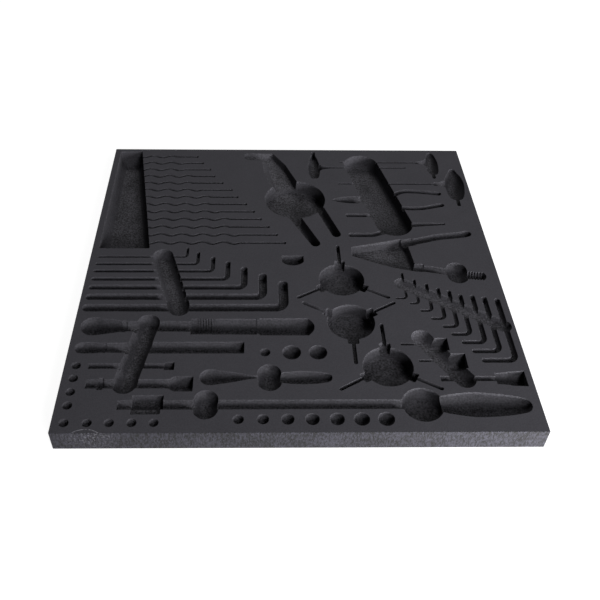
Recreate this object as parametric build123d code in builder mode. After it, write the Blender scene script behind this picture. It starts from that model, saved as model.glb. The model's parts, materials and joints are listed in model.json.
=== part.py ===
"""A foam insert for the drawer of a tool chest.

A thick sheet of black closed-cell polyethylene foam is milled from above with a bed for each tool,
and a thin plain sheet of the same foam is laminated underneath and closes it. Shafts and keys lie
in round-bottomed grooves, turned tools in half-round beds, and wide ball-ended finger recesses
cross the beds so that a hand can reach under each tool.

Sizes are in millimetres. The origin is the centre of the underside, +X is to the right, +Y is to
the back of the drawer and +Z is up. Beds are placed from the corner of the sheet nearest to them,
so x counts from the left or the right edge and y from the front or the back edge.
"""

import os
from math import cos, radians, sin

from build123d import *

# The two sheets
tray_width = 570.0
tray_depth = 570.0
base_thickness = 5.0
layer_thickness = 25.0

top = base_thickness + layer_thickness
left = -tray_width / 2
right = tray_width / 2
front = -tray_depth / 2
back = tray_depth / 2

# Every cutter reaches this far above the top face.
clear_height = 2.0

# Round cuts have flat sides, so that a mesh of the sheet stays light: how many stand for a full
# circle, for the quarter circle between a floor and a side, and for a bend in a groove.
narrow_sides = 12
wide_sides = 24
wide_cut = 20.0
corner_steps = 3
bend_pieces = 3

# Steps from the floor to the side of a cut: a flat-ended cutter, a bull-nosed one and a ball
flat_steps = 0
bull_steps = 1
round_steps = 2

# Drill trough, a box with one slanted side that goes right through the upper sheet
trough_margin = 9.5
trough_back_margin = 7.5
trough_length = 244.5
trough_back_width = 34.5
trough_front_width = 71.5
trough_corner = 2.0

# Drill slots, which start in the trough and wave from side to side so that they grip the shanks
slot_width = 3.0
slot_depth = 6.0
slot_first_row = -21.9
slot_pitch = 18.16
slot_ends = (138.0, 148.0, 160.5, 168.0, 181.5, 196.5, 206.0, 219.5, 231.5, 242.0, 253.5, 265.5, 277.0)
slot_end_width = 4.4
wave_start = 40.9
wave_length = 30.6
wave_height = 2.4
wave_crest = 5.0
wave_first_halves = 4
wave_halves_per_slot = 0.62

# Hexagon keys: across flats, long arm and short arm, as long as the beds hold them
key_sizes = (3.0, 4.0, 5.0, 6.0, 8.0, 10.0, 12.0)
key_long_arms = (127.0, 143.0, 165.0, 186.5, 210.5, 237.0, 265.5)
key_short_arms = (20.5, 26.5, 31.0, 38.0, 44.0, 50.0, 56.5)
key_rows = (299.5, 284.5, 270.0, 254.0, 237.5, 219.0, 198.5)
key_margin = 9.5
key_end_centre = 12.0
key_play = 0.3
key_arm_play = 1.5
key_least_bend = 3.0
key_bend_share = 0.65
key_extra_depth = 4.0
key_finger_route = ((101.8, 301.0), (132.3, 198.5))

# Small angled keys, which step down to the right-hand edge
small_key_columns = (-134.0, -119.0, -103.5, -89.0, -75.0, -61.0, -45.0, -29.5, -13.0)
small_key_tops = (265.3, 251.7, 243.0, 234.5, 229.3, 221.3, 219.5, 216.0, 212.5)
small_key_rows = (216.5, 207.0, 193.5, 179.0, 164.7, 151.2, 137.2, 122.3, 107.0)
small_key_feet = (13.5, 10.5, 13.5, 16.0, 17.0, 22.0, 27.0, 32.0, 39.5)
small_key_width = 3.6
small_key_width_step = 0.45
small_key_extra_depth = 3.5
small_key_bend_share = 1.3
small_key_finger_route = ((-137.0, 245.0), (-15.0, 165.5))

# Round sockets and bits: their beds are half balls
bit_radius = 5.4
bit_margin = 14.4
bit_rows = (99.6, 79.6, 59.0, 39.0)
bit_columns = (14.9, 41.0, 66.2, 91.8, 116.9)
socket_first_column = 213.4
socket_row = 18.8
socket_pitch = 28.5
socket_radii = (6.1, 6.6, 7.3, 7.9, 8.3, 9.0, 9.4)
adapter_row = 120.5
adapter_columns = (245.0, 278.0, 311.0)
adapter_radii = (6.1, 11.3, 11.2)

# Three pullers, each a deep dish with three legs around it
puller_places = ((-219.0, 253.0), (-213.0, 173.0), (-174.0, 97.5))
puller_first_legs = (90.0, 30.0, 90.0)
puller_legs = 3
puller_radius = 30.9
puller_depth = 20.0
puller_corner = 13.0
puller_reach = 69.6
puller_leg_width = 4.8
puller_leg_depth = 8.0
puller_root_width = 14.0
puller_root_reach = 38.0
puller_root_depth = 14.0

# Finger recesses: the round-bottomed troughs that a hand reaches into
finger_width = 29.5
finger_depth = 14.5
wide_finger_width = 55.0
wide_finger_depth = 23.0
wide_finger_route = ((-165.5, -44.5), (-131.0, -195.5))
slant_finger_width = 21.0
slant_finger_depth = 8.0
bit_finger_width = 26.5
bit_finger_depth = 13.0

# Turned tools. Each step is a distance along the axis and a radius there.
to_the_right = 0.0
long_ratchet_place = (9.5, 165.5)
long_ratchet_heading = -0.3
long_ratchet_steps = (
    (0.0, 5.0),
    (4.0, 10.8),
    (10.0, 14.6),
    (17.0, 15.6),
    (28.0, 14.0),
    (51.5, 9.0),
    (51.5, 10.0),
    (58.0, 10.0),
    (58.0, 8.6),
    (140.5, 8.6),
    (140.5, 13.4),
    (225.0, 13.4),
    (225.0, 12.2),
    (228.5, 12.2),
    (228.5, 14.6),
    (291.0, 14.6),
    (294.5, 11.4),
)
ratchet_finger_route = ((95.0, 171.0), (76.5, 70.5))
middle_ratchet_place = (9.5, 128.5)
middle_ratchet_steps = (
    (0.0, 5.0),
    (3.0, 7.8),
    (8.0, 9.0),
    (16.0, 9.0),
    (34.0, 7.4),
    (34.0, 8.6),
    (37.0, 8.6),
    (37.0, 7.4),
    (56.0, 8.1),
    (77.0, 8.1),
    (77.0, 9.3),
    (209.5, 9.3),
)
short_ratchet_place = (166.5, 81.0)
short_ratchet_steps = (
    (0.0, 4.8),
    (3.0, 8.6),
    (8.0, 11.4),
    (13.0, 11.8),
    (22.0, 10.4),
    (66.5, 1.8),
    (84.0, 1.8),
)
short_handle_place = (262.0, 80.0)
short_handle_steps = (
    (0.0, 6.5),
    (14.0, 9.0),
    (28.0, 9.8),
    (44.0, 9.0),
    (58.0, 6.8),
    (62.5, 4.2),
    (64.0, 1.5),
)
short_finger_route = ((249.8, 86.5), (250.3, 74.4))
extension_place = (29.5, 98.7)
extension_steps = ((0.0, 3.8), (92.0, 3.8), (92.0, 6.0), (104.5, 6.0))
extension_sink = 2.0
bit_holder_place = (30.5, 71.0)
bit_holder_steps = (
    (0.0, 6.6),
    (14.0, 6.6),
    (14.0, 8.6),
    (21.0, 8.6),
    (21.0, 6.6),
    (97.0, 6.6),
    (107.5, 11.2),
    (128.0, 11.2),
)
torque_place = (72.0, 39.8)
torque_steps = ((0.0, 6.5), (340.0, 6.5))
torque_handle_place = (448.0, 40.0)
torque_handle_heading = -1.3
torque_handle_steps = (
    (0.0, 9.5),
    (18.0, 14.5),
    (46.0, 17.8),
    (76.0, 15.4),
    (100.0, 11.0),
    (107.0, 8.0),
    (110.5, 3.0),
)
torque_head_corners = ((88.5, 35.7), (125.0, 35.7), (125.0, 53.5), (88.5, 53.5))
torque_head_depth = 12.0
torque_shelf_corners = ((88.5, 26.5), (122.5, 26.5), (122.5, 37.0), (88.5, 37.0))
torque_shelf_depth = 4.0
torque_dish_place = (430.0, 39.4)
torque_dish_radius = 24.3
torque_dish_depth = 18.0
torque_dish_corner = 12.0
torque_finger_route = ((175.0, 46.5), (175.0, 33.5))

# Bit tools in the right-hand front corner, from the right and front edges
bit_tool_places = ((-153.5, 134.0), (-134.5, 106.5), (-112.5, 78.0))
bit_tool_steps = (
    ((0.0, 1.7), (40.0, 1.7), (40.0, 10.0), (60.5, 10.0)),
    ((0.0, 1.6), (39.5, 1.6), (39.5, 11.6), (59.5, 11.6)),
    ((0.0, 3.6), (67.5, 3.4), (67.5, 8.0), (83.5, 9.4), (83.5, 10.4), (104.5, 11.5)),
)
bit_tool_sink = 2.5
bit_finger_route = ((-125.5, 145.0), (-82.5, 77.0))

# T-handled drivers in the right-hand back corner: grip, prong, flare and shank
driver_grip_places = ((-243.0, -79.0), (-49.5, -67.0), (-24.0, -133.0))
driver_grip_headings = (90.0, 88.0, 86.0)
driver_grip_steps = (
    ((0.0, 5.6), (15.0, 8.6), (30.0, 9.4), (45.0, 7.4), (62.0, 2.8)),
    ((0.0, 6.2), (16.0, 9.4), (30.0, 9.8), (46.0, 7.6), (58.5, 3.4)),
    ((0.0, 8.5), (20.0, 13.8), (38.0, 15.2), (56.0, 12.4), (70.0, 6.6), (78.0, 2.8)),
)
driver_grip_sink = 2.0
driver_prongs = (
    ((-242.0, -40.0), (-242.0, -9.0)),
    ((-50.5, -60.0), (-50.5, -77.5)),
    ((-24.0, -125.0), (-24.0, -149.0)),
)
driver_prong_width = 5.4
driver_prong_depth = 11.0
driver_flare_places = ((-238.0, -51.0), (-50.0, -36.0), (-34.0, -95.0))
driver_flare_headings = (0.0, 180.0, 180.0)
driver_flare_steps = (
    ((0.0, 8.8), (4.0, 8.8), (7.3, 5.8), (11.6, 3.9), (20.0, 1.8), (22.0, 1.6)),
    ((0.0, 9.4), (7.9, 9.4), (12.0, 5.4), (17.0, 3.6), (22.0, 2.9), (25.0, 2.9)),
    ((0.0, 9.5), (2.4, 9.0), (6.7, 6.5), (12.0, 4.4), (20.0, 3.9)),
)
driver_shanks = (
    ((-220.0, -51.0), (-94.5, -51.0)),
    ((-72.0, -36.0), (-198.0, -36.0)),
    ((-52.0, -95.0), (-205.5, -95.0)),
)
driver_shank_width = 2.9
driver_shank_depth = 6.0

# Pliers: the big gripping pliers at the back, from the left and back edges
grip_dish_place = (293.3, -136.0)
grip_dish_radius = 46.2
grip_dish_depth = 22.0
grip_dish_corner = 15.0
grip_jaw_outline = (
    (232.0, -11.5),
    (261.0, -11.5),
    (280.5, -44.0),
    (299.0, -93.0),
    (297.5, -118.0),
    (270.0, -120.0),
    (255.0, -100.0),
    (246.0, -66.5),
    (243.0, -33.0),
)
grip_jaw_depth = 19.0
grip_jaw_draft = 12.0
grip_beak = ((222.0, -20.2), (246.0, -22.0))
grip_beak_width = 18.5
grip_beak_depth = 5.5
grip_handles = (
    ((282.5, -165.0), (319.0, -240.5)),
    ((287.0, -165.0), (319.5, -240.5)),
    ((331.0, -160.0), (351.0, -219.5)),
)
grip_handle_width = 13.0
grip_handle_depth = 17.0

# Two pairs of slim pliers under the wide finger recess, from the right and back edges
pliers_noses = ((-218.0, -137.0), (-115.0, -197.8))
pliers_nose_headings = (0.0, 2.0)
pliers_nose_steps = (
    ((0.0, 1.4), (33.0, 8.4), (60.0, 8.4)),
    ((0.0, 5.2), (60.5, 1.8)),
)
pliers_nose_sink = 2.0
pliers_handles = (
    ((-128.0, -127.5), (-107.0, -114.5), (-84.0, -115.5), (-51.5, -120.5)),
    ((-121.0, -155.0), (-101.0, -158.5), (-81.0, -157.5), (-51.5, -149.5)),
    ((-198.0, -175.5), (-150.0, -175.5)),
    ((-197.0, -221.5), (-165.0, -221.5), (-145.0, -213.5)),
)
pliers_handle_bends = (28.0, 28.0, 0.0, 18.0)
pliers_handle_widths = (8.6, 8.2, 7.2, 8.6)
pliers_handle_depth = 8.0

# Snips, from the right and back edges
snips_outline = (
    (-199.5, -249.0),
    (-199.5, -267.5),
    (-167.0, -283.0),
    (-141.5, -293.0),
    (-116.0, -299.5),
    (-113.0, -286.0),
    (-117.5, -247.0),
    (-126.5, -231.0),
    (-158.5, -239.0),
)
snips_depth = 12.0
snips_draft = 10.0
snips_collars = ((-130.0, -242.5), (-117.0, -292.0))
snips_collar_headings = (15.0, -6.0)
snips_collar_steps = (
    ((0.0, 7.6), (24.0, 7.6)),
    ((0.0, 7.6), (16.0, 7.6)),
)
snips_handles = (
    ((-110.0, -237.5), (-71.0, -226.0), (-33.0, -220.5), (-26.0, -218.0)),
    ((-106.0, -293.5), (-85.0, -297.5), (-56.0, -305.0)),
)
snips_handle_bends = (12.0, 30.0)
snips_handle_width = 12.4
snips_handle_depth = 8.0
snips_finger_route = ((-56.5, -297.0), (-56.5, -309.5))
spring_place = (-46.0, -307.5)
spring_heading = -6.0
spring_turns = 7
spring_pitch = 3.8
spring_radius = 8.2
spring_root = 7.0

# A thumb-sized pocket with one straight side, from the left and front edges
half_moon_left = 270.0
half_moon_right = 300.5
half_moon_back = 302.0
half_moon_side = 290.0
half_moon_front = 282.0
half_moon_depth = 12.0


def faceted(rings):
    """A solid with flat sides through a stack of rings, each the same number of points."""
    faces = [Face(Wire.make_polygon(ring)) for ring in (rings[0], rings[-1])]
    for near, far in zip(rings, rings[1:]):
        for here in range(len(near)):
            after = (here + 1) % len(near)
            corners = [near[here], near[after], far[after], far[here]]
            faces.append(Face(Wire.make_polygon(corners)))
    return Solid(Shell(faces))


def sides_of(width):
    """How many flat sides stand for a full circle of this width."""
    return wide_sides if width > wide_cut else narrow_sides


def round_side(radius, depth, steps):
    """The side of a round-bottomed cut, from its flat floor out to where it stands upright.

    A quarter circle is cut in straight steps. With no steps the side stands straight on the floor,
    and a cut that is wider than it is deep keeps a flat strip in the middle of its floor.
    """
    if not steps:
        return [(radius, -depth)]
    corner = min(radius, depth)
    floor = radius - corner
    step = 180 / (2 * steps + 1)
    rise = corner / cos(radians(step / 2))
    angles = [radians(step * (number + 0.5)) for number in range(steps + 1)]
    return [(floor + corner * sin(angle), corner - depth - rise * cos(angle)) for angle in angles]


def sunk(side):
    """The side carried on upright until it is clear of the top face."""
    reach, height = side[-1]
    return [*side, (reach, max(height, 0.0) + clear_height)]


def turned_hole(x, y, side):
    """A round hole turned about an upright axis, from the side that a cut through it shows."""
    sides = sides_of(2 * side[-1][0])
    turns = [radians(360 * (number + 0.5) / sides) for number in range(sides)]
    return faceted(
        [
            [(x + reach * cos(turn), y + reach * sin(turn), height) for turn in turns]
            for reach, height in sunk(side)
        ]
    )


def ball_hole(x, y, width, depth, steps=round_steps):
    """The hole that a ball-nosed cutter leaves where it is pushed straight in."""
    return turned_hole(x, y, round_side(width / 2, depth, steps))


def dish(x, y, radius, depth, corner):
    """A round dish with a flat floor, upright sides and a rounded corner between them."""
    bends = [radians(90 * number / corner_steps) for number in range(corner_steps + 1)]
    floor = radius - corner
    side = [(floor + corner * sin(bend), corner * (1 - cos(bend)) - depth) for bend in bends]
    return turned_hole(x, y, side)


def stroke(stations, reach, height, sides):
    """The outline of a stroke through stations, each a point and a heading, with round ends."""
    right_side = [point + heading.rotate(Axis.Z, -90) * reach for point, heading in stations]
    left_side = [point + heading.rotate(Axis.Z, 90) * reach for point, heading in stations]
    turns = [-90 + 360 * number / sides for number in range(1, sides // 2)]
    (first, first_heading), (last, last_heading) = stations[0], stations[-1]
    far_end = [last + last_heading.rotate(Axis.Z, turn) * reach for turn in turns]
    near_end = [first - first_heading.rotate(Axis.Z, turn) * reach for turn in turns]
    outline = right_side + far_end + left_side[::-1] + near_end
    return [(point.X, point.Y, height) for point in outline]


def groove(route, width, depth, bend=0.0, steps=flat_steps):
    """A groove along straight runs, with an arc of radius bend at each corner and round ends."""
    with BuildLine() as centre:
        if bend:
            FilletPolyline(*route, radius=bend)
        else:
            Polyline(*route)
    first = centre.edges().sort_by_distance(route[0])[0]
    stations = [(Vector(*route[0]), first % 0)]
    for edge in centre.wire().order_edges():
        pieces = 1 if edge.geom_type == GeomType.LINE else bend_pieces
        for number in range(1, pieces + 1):
            stations.append((edge @ (number / pieces), edge % (number / pieces)))
    side = sunk(round_side(width / 2, depth, steps))
    sides = sides_of(width)
    return faceted([stroke(stations, reach, height, sides) for reach, height in side])


def turned_bed(x, y, heading, steps, sink=0.0):
    """The lower half of a turned shape that lies on its side, its axis sink below the top face."""
    sides = sides_of(2 * max(radius for _, radius in steps))
    turns = [radians(180 + 360 * number / sides) for number in range(sides // 2 + 1)]
    rings = []
    for distance, radius in steps:
        lower = [(distance, radius * cos(turn), radius * sin(turn)) for turn in turns]
        mouth = sink + clear_height
        rings.append([*lower, (distance, radius, mouth), (distance, -radius, mouth)])
    return faceted(rings).moved(Location((x, y, -sink), (0, 0, heading)))


def flat_bed(outline, depth, draft=0.0, corner=0.0):
    """A pocket with a flat floor whose sides lean outwards by the draft angle."""
    with BuildPart() as bed:
        with BuildSketch() as mouth:
            Polygon(*outline, align=None)
            if corner:
                fillet(mouth.vertices(), corner)
        extrude(amount=-depth, taper=draft)
    return bed.part


def fused(beds):
    """Beds that cross each other, joined into one cutter."""
    with BuildPart() as group:
        add(beds)
    return group.part


# Drill trough and slots, from the left and back edges
trough_left_back = (trough_margin, -trough_back_margin)
trough_right_back = (trough_margin + trough_back_width, -trough_back_margin)
trough_right_front = (trough_margin + trough_front_width, -trough_back_margin - trough_length)
trough_left_front = (trough_margin, -trough_back_margin - trough_length)
drill_beds = [
    flat_bed(
        (trough_left_back, trough_right_back, trough_right_front, trough_left_front),
        layer_thickness,
        corner=trough_corner,
    )
]
for number, slot_tip in enumerate(slot_ends):
    row = slot_first_row - slot_pitch * number
    slot_end = slot_tip - slot_end_width / 2
    halves = round(wave_first_halves + wave_halves_per_slot * number)
    centre = [(wave_start, row)]
    for half in range(halves):
        crest_x = wave_start + (half + 0.5) * wave_length / 2
        crest_y = row - wave_height if half % 2 == 0 else row + wave_height
        centre += [(crest_x - wave_crest / 2, crest_y), (crest_x + wave_crest / 2, crest_y)]
    centre += [(wave_start + halves * wave_length / 2, row), (slot_end, row)]
    far_side = [(x, y + slot_width / 2) for x, y in centre]
    near_side = [(x, y - slot_width / 2) for x, y in reversed(centre)]
    slot = flat_bed(far_side + near_side, slot_depth)
    drill_beds += [slot, ball_hole(slot_end, row, slot_end_width, slot_depth, steps=flat_steps)]

# Hexagon keys and the finger recess across them, from the left and front edges
key_beds = [groove(key_finger_route, finger_width, finger_depth, steps=round_steps)]
for key, long_arm, short_arm, row in zip(key_sizes, key_long_arms, key_short_arms, key_rows):
    bed_width = key + key_play
    column = key_margin + long_arm + key_arm_play - bed_width / 2
    key_top = row + short_arm + key_arm_play - bed_width
    key_route = ((key_end_centre, row), (column, row), (column, key_top))
    depth = bed_width / 2 + key_extra_depth
    bend = key_least_bend + key_bend_share * key
    key_beds.append(groove(key_route, bed_width, depth, bend, bull_steps))

# Small angled keys and the slanting finger recess across them, from the right and front edges
small_key_beds = [
    groove(small_key_finger_route, slant_finger_width, slant_finger_depth, steps=round_steps)
]
small_key_places = zip(small_key_columns, small_key_tops, small_key_rows, small_key_feet)
for number, (column, key_top, row, foot) in enumerate(small_key_places):
    bed_width = small_key_width + small_key_width_step * number
    key_route = ((column - foot, row), (column, row), (column, key_top))
    depth = bed_width / 2 + small_key_extra_depth
    small_key_beds.append(groove(key_route, bed_width, depth, small_key_bend_share * bed_width))

# Sockets and bits, from the left and front edges
round_places = [(bit_margin, row, bit_radius) for row in bit_rows]
round_places += [(column, bit_margin, bit_radius) for column in bit_columns]
for number, radius in enumerate(socket_radii):
    round_places.append((socket_first_column + socket_pitch * number, socket_row, radius))
for column, radius in zip(adapter_columns, adapter_radii):
    round_places.append((column, adapter_row, radius))
round_beds = [ball_hole(x, y, 2 * radius, radius) for x, y, radius in round_places]

# Ratchets, extensions and the finger recess across them, from the left and front edges
ratchet_beds = [
    turned_bed(*long_ratchet_place, long_ratchet_heading, long_ratchet_steps),
    turned_bed(*middle_ratchet_place, to_the_right, middle_ratchet_steps),
    turned_bed(*extension_place, to_the_right, extension_steps, extension_sink),
    turned_bed(*bit_holder_place, to_the_right, bit_holder_steps),
    groove(ratchet_finger_route, finger_width, finger_depth, steps=round_steps),
]
short_ratchet_beds = [
    turned_bed(*short_ratchet_place, to_the_right, short_ratchet_steps),
    turned_bed(*short_handle_place, to_the_right, short_handle_steps),
    groove(short_finger_route, finger_width, finger_depth, steps=round_steps),
]

# Torque wrench, from the left and front edges
torque_beds = [
    turned_bed(*torque_place, to_the_right, torque_steps),
    turned_bed(*torque_handle_place, torque_handle_heading, torque_handle_steps),
    flat_bed(torque_head_corners, torque_head_depth),
    flat_bed(torque_shelf_corners, torque_shelf_depth),
    dish(*torque_dish_place, torque_dish_radius, torque_dish_depth, torque_dish_corner),
    groove(torque_finger_route, finger_width, finger_depth, steps=round_steps),
]

# Half-moon pocket
with BuildPart() as half_moon:
    with BuildSketch():
        with BuildLine():
            Polyline(
                (half_moon_left, half_moon_side),
                (half_moon_left, half_moon_back),
                (half_moon_right, half_moon_back),
                (half_moon_right, half_moon_side),
            )
            ThreePointArc(
                (half_moon_left, half_moon_side),
                ((half_moon_left + half_moon_right) / 2, half_moon_front),
                (half_moon_right, half_moon_side),
            )
        make_face()
    extrude(amount=-half_moon_depth)

# Pullers, from the right and front edges
puller_beds = []
for (x, y), first_leg in zip(puller_places, puller_first_legs):
    bed = [dish(x, y, puller_radius, puller_depth, puller_corner)]
    for leg in range(puller_legs):
        heading = first_leg + leg * 360 / puller_legs
        along = Vector(1, 0, 0).rotate(Axis.Z, heading)
        across = along.rotate(Axis.Z, 90) * puller_root_width / 2
        centre = Vector(x, y, 0)
        root = centre + along * puller_root_reach
        corners = (centre - across, root - across, root + across, centre + across)
        bed.append(flat_bed([(corner.X, corner.Y) for corner in corners], puller_root_depth))
        tip = centre + along * puller_reach
        leg_route = ((x, y), (tip.X, tip.Y))
        bed.append(groove(leg_route, puller_leg_width, puller_leg_depth))
    puller_beds.append(fused(bed))

# Bit tools and their finger recess, from the right and front edges
bit_tool_beds = [groove(bit_finger_route, bit_finger_width, bit_finger_depth, steps=round_steps)]
for place, steps in zip(bit_tool_places, bit_tool_steps):
    bit_tool_beds.append(turned_bed(*place, to_the_right, steps, bit_tool_sink))

# T-handled drivers, from the right and back edges
driver_beds = []
for place, heading, steps in zip(driver_grip_places, driver_grip_headings, driver_grip_steps):
    driver_beds.append(turned_bed(*place, heading, steps, driver_grip_sink))
for place, heading, steps in zip(driver_flare_places, driver_flare_headings, driver_flare_steps):
    driver_beds.append(turned_bed(*place, heading, steps, driver_grip_sink))
for prong, shank in zip(driver_prongs, driver_shanks):
    driver_beds.append(groove(prong, driver_prong_width, driver_prong_depth))
    driver_beds.append(groove(shank, driver_shank_width, driver_shank_depth))

# Slim pliers and the wide finger recess across them and the drivers
pliers_beds = [groove(wide_finger_route, wide_finger_width, wide_finger_depth, steps=round_steps)]
for nose, heading, steps in zip(pliers_noses, pliers_nose_headings, pliers_nose_steps):
    pliers_beds.append(turned_bed(*nose, heading, steps, pliers_nose_sink))
for route, bend, width in zip(pliers_handles, pliers_handle_bends, pliers_handle_widths):
    pliers_beds.append(groove(route, width, pliers_handle_depth, bend, steps=bull_steps))

# Big gripping pliers, from the left and back edges
grip_beds = [
    dish(*grip_dish_place, grip_dish_radius, grip_dish_depth, grip_dish_corner),
    flat_bed(grip_jaw_outline, grip_jaw_depth, grip_jaw_draft),
    groove(grip_beak, grip_beak_width, grip_beak_depth, steps=bull_steps),
]
for route in grip_handles:
    grip_beds.append(groove(route, grip_handle_width, grip_handle_depth, steps=bull_steps))

# Snips with their spring, from the right and back edges
spring_steps = []
for turn in range(spring_turns):
    spring_steps.append((turn * spring_pitch, spring_root))
    spring_steps.append(((turn + 0.5) * spring_pitch, spring_radius))
spring_steps.append((spring_turns * spring_pitch, spring_root))
snips_beds = [
    flat_bed(snips_outline, snips_depth, snips_draft),
    groove(snips_finger_route, finger_width, finger_depth, steps=round_steps),
    turned_bed(*spring_place, spring_heading, spring_steps),
]
for collar, heading, steps in zip(snips_collars, snips_collar_headings, snips_collar_steps):
    snips_beds.append(turned_bed(*collar, heading, steps))
for route, bend in zip(snips_handles, snips_handle_bends):
    snips_beds.append(groove(route, snips_handle_width, snips_handle_depth, bend, steps=bull_steps))

# Upper sheet: every group of beds is carried to its corner of the sheet and cut away
left_front = [key_beds, round_beds, ratchet_beds, short_ratchet_beds, torque_beds, [half_moon.part]]
left_back = [drill_beds, grip_beds]
right_front = [small_key_beds, *[[bed] for bed in puller_beds], bit_tool_beds]
right_back = [driver_beds + pliers_beds, snips_beds]
corner_groups = (
    ((left, front), left_front),
    ((left, back), left_back),
    ((right, front), right_front),
    ((right, back), right_back),
)
cutters = [
    fused(beds).moved(Location((*corner, top))) for corner, groups in corner_groups for beds in groups
]
with BuildPart() as pocket_layer:
    with BuildSketch(Plane.XY.offset(base_thickness)):
        Rectangle(tray_width, tray_depth)
    extrude(amount=layer_thickness)
    add(cutters, mode=Mode.SUBTRACT)

# Lower sheet
with BuildPart() as base_layer:
    with BuildSketch(Plane.XY):
        Rectangle(tray_width, tray_depth)
    extrude(amount=base_thickness)

pocket_layer.part.label = "pocket_layer"
base_layer.part.label = "base_layer"
os.makedirs("parts", exist_ok=True)
for piece in (pocket_layer, base_layer):
    export_step(piece.part, f"parts/{piece.part.label}.step")
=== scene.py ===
# %% [markdown]
# # A milled foam tray for a tool drawer
#
# The object is a drawer insert: a thick sheet of charcoal polyethylene foam with a bed milled into
# it for every tool, on a thin plain sheet of the same foam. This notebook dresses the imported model
# of it. Blender works in metres, while a tray is easier to describe in millimetres, so all shapes
# here are worked out in millimetres and turned to metres when they become a mesh.

import json

import bpy
import numpy as np
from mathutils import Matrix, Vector

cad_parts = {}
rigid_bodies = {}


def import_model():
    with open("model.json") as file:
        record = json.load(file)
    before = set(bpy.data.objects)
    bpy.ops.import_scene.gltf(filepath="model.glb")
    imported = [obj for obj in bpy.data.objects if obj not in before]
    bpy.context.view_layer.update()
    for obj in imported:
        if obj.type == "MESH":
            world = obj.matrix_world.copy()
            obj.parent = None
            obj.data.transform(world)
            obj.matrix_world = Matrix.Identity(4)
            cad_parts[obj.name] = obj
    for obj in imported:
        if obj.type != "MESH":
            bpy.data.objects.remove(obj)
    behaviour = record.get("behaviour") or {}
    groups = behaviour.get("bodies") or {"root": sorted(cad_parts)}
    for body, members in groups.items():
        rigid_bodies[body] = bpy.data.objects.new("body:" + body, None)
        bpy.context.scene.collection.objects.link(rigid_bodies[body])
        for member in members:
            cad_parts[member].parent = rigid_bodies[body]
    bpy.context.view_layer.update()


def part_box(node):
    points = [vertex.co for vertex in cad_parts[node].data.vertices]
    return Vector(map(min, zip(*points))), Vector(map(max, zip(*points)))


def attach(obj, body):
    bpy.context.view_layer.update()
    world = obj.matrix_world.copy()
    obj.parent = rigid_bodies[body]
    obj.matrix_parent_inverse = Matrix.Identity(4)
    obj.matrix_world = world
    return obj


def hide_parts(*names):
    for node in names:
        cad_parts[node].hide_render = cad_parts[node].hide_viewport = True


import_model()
mm = 0.001

layer_low, layer_high = (np.array(corner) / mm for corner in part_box("pocket_layer"))
left, front, seam = layer_low
right, back, top = layer_high
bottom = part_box("base_layer")[0][2] / mm
print(f"Tray {right - left:.1f} x {back - front:.1f} x {top - bottom:.1f} mm, seam at {seam:.1f} mm")

# %% [markdown]
# ## Camera
#
# The photograph looks down on the tray from in front of it. A camera could be placed by eye, but a
# flat square tray gives its four top corners away so clearly that the view can be solved: place,
# tilt and focal length here put every corner within half a pixel. The shift says that the picture
# was cropped off centre. Depth of field stays off, so that every bed is sharp.

# %% Camera
camera_place = (-49.76, -793.80, 747.17)
camera_turn = (46.736, -0.930, -0.895)
focal_length = 45.75
camera_shift = (0.0425, -0.0343)

camera_data = bpy.data.cameras.new("camera")
camera_data.lens = focal_length
camera_data.sensor_width = 36.0
camera_data.shift_x, camera_data.shift_y = camera_shift
camera_data.clip_start, camera_data.clip_end = 0.01, 100.0
camera = bpy.data.objects.new("camera", camera_data)
camera.location = np.array(camera_place) * mm
camera.rotation_euler = np.radians(camera_turn)
bpy.context.scene.collection.objects.link(camera)
bpy.context.scene.camera = camera
bpy.context.scene.view_settings.view_transform = "Standard"
print(f"Camera {np.linalg.norm(camera_place) * mm:.2f} m from the tray, {focal_length} mm lens")

# %% [markdown]
# ## Colours and nodes
#
# Colours are written the way a paint program writes them, as sRGB hex codes, but shader sockets
# want linear light. One function does that step. A second one adds a shader node, sets its values
# and wires its inputs in one call, so that a material further down reads as a list of its layers.

# %% Two helpers
def srgb(code):
    """Linear colour of a hex code: below 0.04045 a straight line, above it a power of 2.4."""
    levels = np.array([int(code[place : place + 2], 16) for place in (1, 3, 5)]) / 255
    linear = np.where(levels <= 0.04045, levels / 12.92, ((levels + 0.055) / 1.055) ** 2.4)
    return (*linear.tolist(), 1.0)


def add_node(tree, kind, settings=None, **inputs):
    """Adds a node. Settings are its own properties, inputs are values or sockets to link.

    An input goes by its socket's name, with _ for a space, or by i and its number, such as i0.
    """
    node = tree.nodes.new(kind)
    for name, value in (settings or {}).items():
        setattr(node, name, value)
    for name, value in inputs.items():
        key = int(name[1:]) if name[1:].isdigit() else name.replace("_", " ")
        if isinstance(value, bpy.types.NodeSocket):
            tree.links.new(value, node.inputs[key])
        else:
            node.inputs[key].default_value = value
    return node


def new_material(name):
    """An empty node material, with its tree and its output node."""
    material = bpy.data.materials.new(name)
    material.use_nodes = True
    material.node_tree.nodes.clear()
    output = material.node_tree.nodes.new("ShaderNodeOutputMaterial")
    return material, material.node_tree, output


print("Foam skin #38373d is", [round(level, 4) for level in srgb("#38373d")[:3]], "in linear light")

# %% [markdown]
# ## Floor and world
#
# The tray was photographed on plain white, so the floor is one large pale plane. A white background
# could come from brighter lamps, but those would also bleach the foam. The camera is told apart from
# all other rays instead: it sees the floor lifted towards white, while the foam is lit by the plain
# one. The floor still darkens where the tray shades it. Gloss and glass would see the lifted floor
# too, as they would in a studio.

# %% Floor and world
floor_size = 12.0
floor_drop = 0.2
floor_white = "#e6e6e6"
seen_white = "#ffffff"
glow_level, glow_share = 1.55, 0.6

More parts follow.
